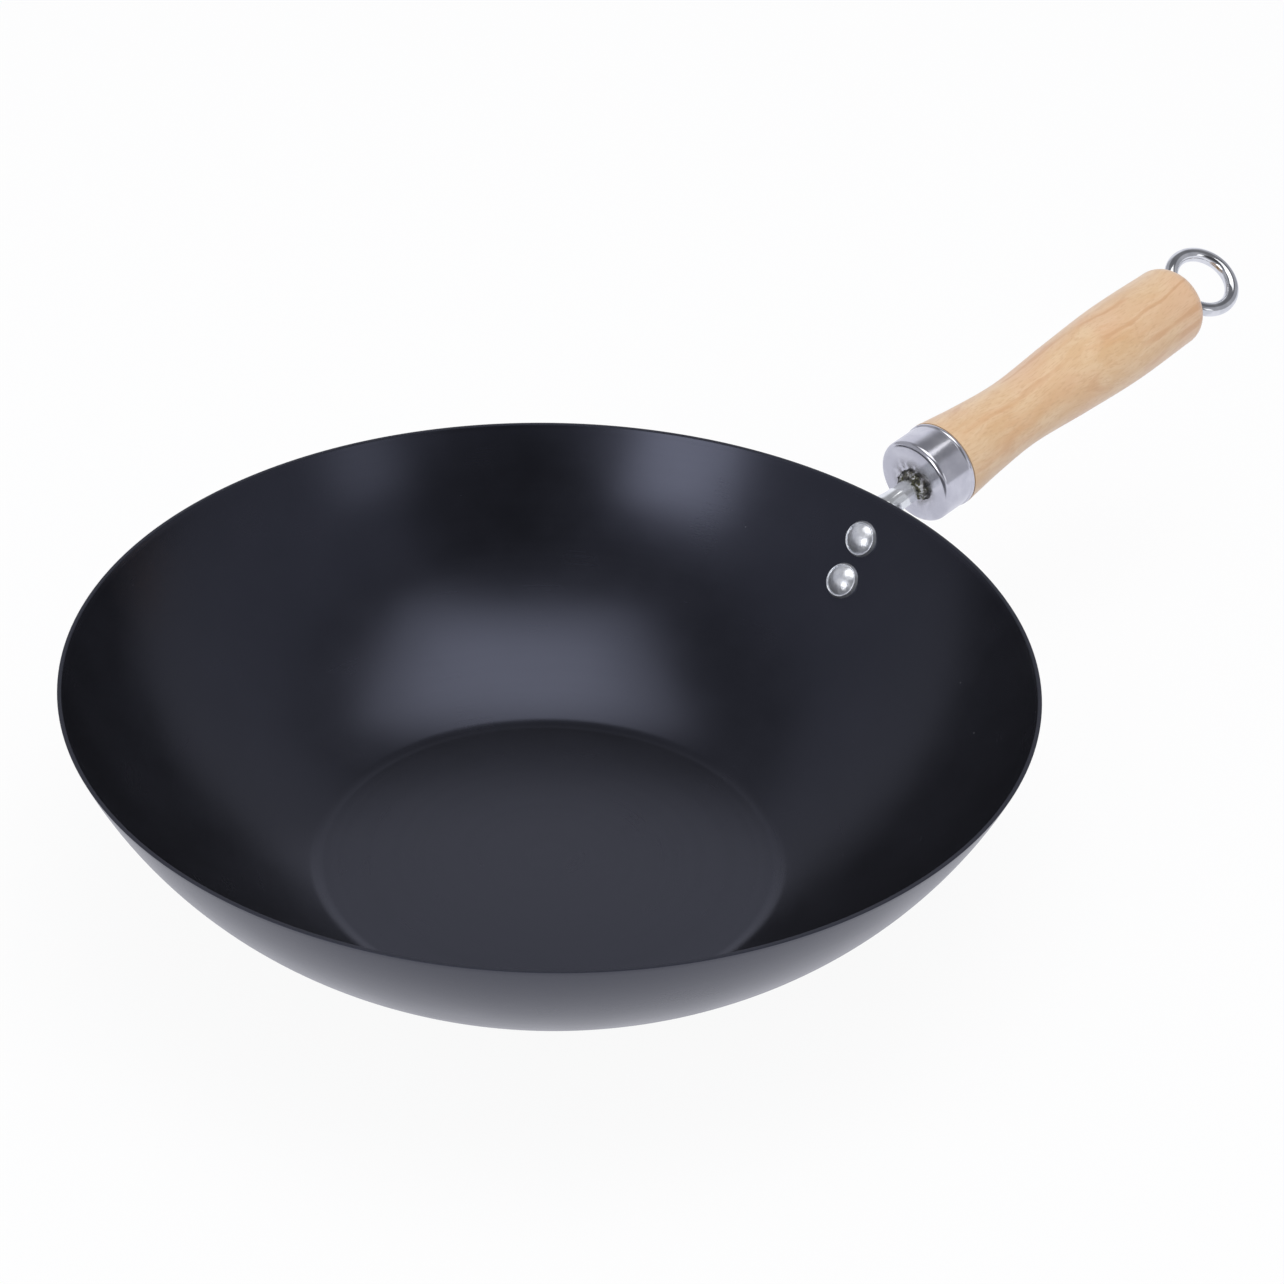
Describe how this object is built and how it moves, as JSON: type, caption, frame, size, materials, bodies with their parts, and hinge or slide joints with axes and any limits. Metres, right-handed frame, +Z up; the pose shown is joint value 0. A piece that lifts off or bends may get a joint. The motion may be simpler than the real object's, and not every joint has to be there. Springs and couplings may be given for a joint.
{
  "type": "wok",
  "caption": "Flat-bottomed carbon steel wok with a dark coating and one long turned wooden handle on a riveted steel arm, with a hanging eye.",
  "frame": {"origin": "centre of the flat underside of the base, on the surface that the wok stands on", "axes": "+Z up out of the bowl; +X along the handle, seen from above"},
  "size_m": [0.4855, 0.2997, 0.1067],
  "materials": {
    "coated_steel": "satin black baked coating, inside and outside, on pressed carbon steel sheet",
    "rivet_aluminium": "satin",
    "plated_arm": "bright plated pressed steel",
    "burnt_weld": "burnt weld metal, rough",
    "chrome_ferrule": "bright chrome",
    "zinc_nut": "zinc plated",
    "pale_wood": "turned and sanded, thin clear finish",
    "chrome_wire": "bright chrome"
  },
  "bodies": {
    "wok": {"bowl": "coated_steel", "upper_rivet": "rivet_aluminium", "lower_rivet": "rivet_aluminium", "tang_bracket": "plated_arm", "tang_weld": "burnt_weld", "ferrule": "chrome_ferrule", "ferrule_nut": "zinc_nut", "grip": "pale_wood"},
    "hanging_bolt": {"ring_bolt": "chrome_wire"}
  },
  "joints": [
    {"name": "ring_bolt_turn", "type": "hinge", "parent": "wok", "child": "hanging_bolt", "pos_m": [0.32137, 0, 0.09515], "axis": [0.9895, 0, 0.1444], "range_deg": [0, 180]}
  ]
}
